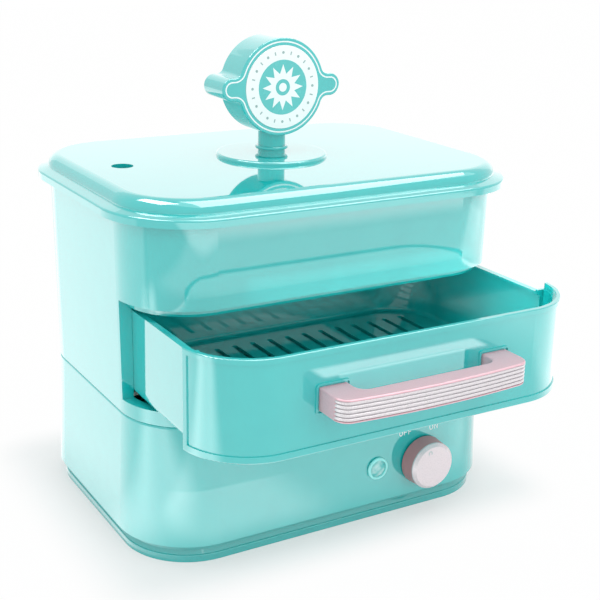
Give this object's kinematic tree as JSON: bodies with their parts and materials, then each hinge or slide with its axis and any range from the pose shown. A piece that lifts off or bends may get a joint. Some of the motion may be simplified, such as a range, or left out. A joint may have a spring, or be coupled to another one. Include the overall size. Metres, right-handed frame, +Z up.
{
  "type": "hot dog steamer",
  "caption": "Countertop steamer: a rounded box on a heated water base, with a slotted pull-out drawer, a lift-out upper tray and a lift-off lid with a disc-shaped sign knob.",
  "frame": {"origin": "on the resting surface, under the middle of the base", "axes": "+Z up; the drawer, knob and lamp are on the -Y side; +X to the right seen from the front"},
  "size_m": [0.29, 0.3153, 0.3183],
  "materials": {
    "aqua_plastic": "gloss",
    "rubber": "matt",
    "silicone": "matt",
    "screw_steel": "zinc plated",
    "basin_plastic": "satin",
    "tray_plastic": "satin",
    "plate_metal": "satin",
    "element_steel": "satin",
    "terminal_brass": "satin",
    "inner_plastic": "matt",
    "wire_cover": "matt",
    "shaft_metal": "satin",
    "rose_plastic": "pearl satin",
    "silver_face": "satin silver",
    "lamp_plastic": "gloss",
    "lamp_clear": "clear",
    "badge_white": "gloss"
  },
  "bodies": {
    "base": {"base_housing": "aqua_plastic", "base_deck": "aqua_plastic", "base_bottom_cover": "aqua_plastic", "rubber_feet": "rubber", "bottom_cover_screws": "screw_steel", "water_basin": "basin_plastic", "basin_seal": "silicone", "heating_plate": "plate_metal", "plate_ring_nut": "plate_metal", "heating_element": "element_steel", "element_terminals": "terminal_brass", "thermostat": "element_steel", "thermostat_bracket": "element_steel", "bracket_screws": "screw_steel", "thermal_fuse": "inner_plastic", "rotary_switch": "inner_plastic", "switch_nut": "screw_steel", "lamp_bezel": "lamp_plastic", "lamp_lens": "lamp_clear", "neon_lamp": "lamp_clear", "cord_outlet_bush": "inner_plastic", "cord_outlet_panel": "aqua_plastic", "terminal_block": "inner_plastic", "internal_wires": "wire_cover"},
    "control_knob_set": {"control_knob": "rose_plastic", "knob_face_disc": "silver_face", "switch_shaft": "shaft_metal"},
    "drip_tray_set": {"drip_tray": "basin_plastic"},
    "housing": {"steam_housing": "aqua_plastic", "drawer_runner_left": "inner_plastic", "drawer_runner_right": "inner_plastic", "runner_screws": "screw_steel"},
    "drawer": {"drawer_front": "aqua_plastic", "drawer_tub": "aqua_plastic", "drawer_handle": "rose_plastic", "handle_grip_trim": "silver_face", "handle_screws": "screw_steel"},
    "bun_tray_set": {"bun_tray": "tray_plastic"},
    "lid": {"lid_shell": "aqua_plastic", "knob_stem": "aqua_plastic", "stem_collar": "aqua_plastic", "sign_body": "aqua_plastic", "sign_front_badge": "badge_white", "sign_rear_badge": "badge_white", "knob_screw": "screw_steel", "knob_washer": "screw_steel"}
  },
  "joints": [
    {"name": "knob_turn", "type": "hinge", "parent": "base", "child": "control_knob_set", "pos_m": [0.0666, -0.1, 0.0366], "axis": [0, 1, 0], "range_deg": [0, 51]},
    {"name": "drip_tray_lift", "type": "slide", "parent": "base", "child": "drip_tray_set", "axis": [0, 0, 1], "range_m": [0, 0.03]},
    {"name": "housing_lift", "type": "slide", "parent": "drip_tray_set", "child": "housing", "axis": [0, 0, 1], "range_m": [0, 0.05]},
    {"name": "drawer_slide", "type": "slide", "parent": "housing", "child": "drawer", "axis": [0, -1, 0], "range_m": [-0.083, 0.04]},
    {"name": "bun_tray_lift", "type": "slide", "parent": "housing", "child": "bun_tray_set", "axis": [0, 0, 1], "range_m": [0, 0.06]},
    {"name": "lid_lift", "type": "slide", "parent": "bun_tray_set", "child": "lid", "axis": [0, 0, 1], "range_m": [0, 0.06]}
  ]
}
